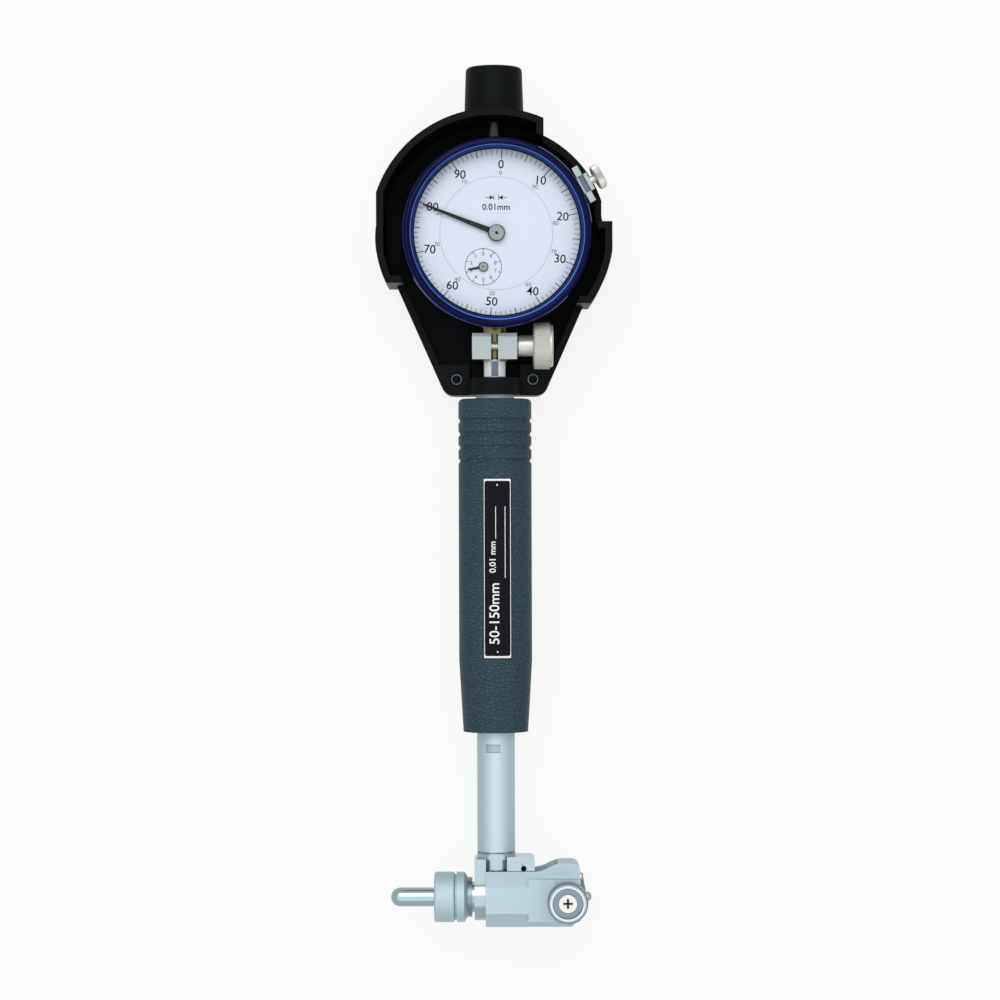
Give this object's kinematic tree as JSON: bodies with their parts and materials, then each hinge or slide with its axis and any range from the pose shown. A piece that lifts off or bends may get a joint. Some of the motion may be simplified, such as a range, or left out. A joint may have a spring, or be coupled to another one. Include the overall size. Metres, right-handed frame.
{
  "type": "dial bore gauge",
  "caption": "Dial bore gauge on its back: a guarded round indicator, a grip, a tube and a measuring head with a centralising guide, rollers, a contact tip and an anvil.",
  "frame": {"origin": "on the resting surface, below the middle of the dial", "axes": "+Z out of the dial, +Y up the gauge towards the guard's cap, +X towards the contact tip"},
  "size_m": [0.0703, 0.2568, 0.036],
  "materials": {
    "guard": "moulded, satin",
    "bezel": "anodised blue",
    "case": "satin",
    "glass": "clear",
    "dial": "matt white",
    "dark": "matt dark",
    "nickel": "satin nickel",
    "chrome": "polished",
    "grip": "grained",
    "plate": "printed black",
    "steel": "satin",
    "black_screw": "black oxide"
  },
  "bodies": {
    "gauge": {"guard_shell": "guard", "guard_base": "guard", "guard_screws": "black_screw", "indicator_case": "case", "back_cover": "case", "cover_screws": "black_screw", "inner_dial": "dial", "stem": "chrome", "spindle_cap": "black_screw", "bezel_clamp": "nickel", "stem_clamp": "nickel", "tube": "steel", "grip": "grip", "label_plate": "plate", "head_body": "steel", "flange_screw": "black_screw", "crank_pin": "steel", "contact_bush": "steel", "contact_spring": "steel", "guide_spring": "steel", "spacer_washer": "steel", "lock_collar": "steel", "anvil": "chrome"},
    "bezel": {"bezel": "bezel", "crystal": "glass", "scale_ring": "dial"},
    "pointer": {"pointer": "dark"},
    "counter_pointer": {"counter_pointer": "dark"},
    "spindle": {"spindle": "steel"},
    "push_rod": {"push_rod": "steel"},
    "bell_crank": {"bell_crank": "steel"},
    "contact": {"contact_plunger": "steel"},
    "guide": {"guide_block": "steel", "roller_screws": "nickel", "wire_clip": "steel"},
    "front_roller": {"front_roller": "chrome"},
    "rear_roller": {"rear_roller": "chrome"},
    "stem_clamp_knob": {"clamp_knob": "nickel"},
    "bezel_clamp_screw": {"bezel_screw": "nickel"},
    "lock_nut": {"lock_nut": "steel"}
  },
  "joints": [
    {"name": "bezel_turn", "type": "hinge", "parent": "gauge", "child": "bezel", "pos_m": [0, 0, 0.018], "axis": [0.061, 0, 0.9981], "continuous": true},
    {"name": "pointer_turn", "type": "hinge", "parent": "gauge", "child": "pointer", "pos_m": [0, 0, 0.018], "axis": [-0.061, 0, -0.9981], "range_deg": [0, 576]},
    {"name": "counter_pointer_turn", "type": "hinge", "parent": "gauge", "child": "counter_pointer", "pos_m": [-0.00389, -0.01, 0.01824], "axis": [0.061, 0, 0.9981], "range_deg": [0, 57.6]},
    {"name": "spindle_slide", "type": "slide", "parent": "gauge", "child": "spindle", "axis": [0, 1, 0], "range_m": [0, 0.0016]},
    {"name": "push_rod_slide", "type": "slide", "parent": "gauge", "child": "push_rod", "axis": [0, 1, 0], "range_m": [0, 0.0016]},
    {"name": "bell_crank_turn", "type": "hinge", "parent": "gauge", "child": "bell_crank", "pos_m": [0.005, -0.1932, 0.018], "axis": [0, 0, -1], "range_deg": [0, 18.34]},
    {"name": "contact_slide", "type": "slide", "parent": "gauge", "child": "contact", "axis": [-1, 0, 0], "range_m": [0, 0.0016], "stiffness_N_per_m": 600, "springref_m": -0.005, "deforming": ["contact_spring"]},
    {"name": "guide_slide", "type": "slide", "parent": "gauge", "child": "guide", "axis": [-1, 0, 0], "range_m": [0, 0.003], "stiffness_N_per_m": 800, "springref_m": -0.004, "deforming": ["guide_spring"]},
    {"name": "front_roller_spin", "type": "hinge", "parent": "guide", "child": "front_roller", "pos_m": [0.0211, -0.1982, 0.018], "axis": [0, 0, 1], "continuous": true},
    {"name": "rear_roller_spin", "type": "hinge", "parent": "guide", "child": "rear_roller", "pos_m": [0.0211, -0.1982, 0.018], "axis": [0, 0, 1], "continuous": true},
    {"name": "stem_clamp_knob_turn", "type": "hinge", "parent": "gauge", "child": "stem_clamp_knob", "pos_m": [0, -0.0333, 0.0242], "axis": [1, 0, 0], "range_deg": [0, 360]},
    {"name": "bezel_clamp_screw_turn", "type": "hinge", "parent": "gauge", "child": "bezel_clamp_screw", "pos_m": [0.00063, 0, 0.02838], "axis": [0.873, 0.4848, -0.0534], "range_deg": [0, 360]},
    {"name": "lock_nut_turn", "type": "hinge", "parent": "gauge", "child": "lock_nut", "pos_m": [0, -0.1982, 0.018], "axis": [-1, 0, 0], "range_deg": [0, 360]}
  ],
  "couplings": [
    {"joint": "push_rod_slide", "follows": "contact_slide", "ratio": 1},
    {"joint": "spindle_slide", "follows": "contact_slide", "ratio": 1},
    {"joint": "bell_crank_turn", "follows": "contact_slide", "rad_per_m": 200},
    {"joint": "pointer_turn", "follows": "contact_slide", "rad_per_m": 6283.2},
    {"joint": "counter_pointer_turn", "follows": "contact_slide", "rad_per_m": 628.32}
  ]
}
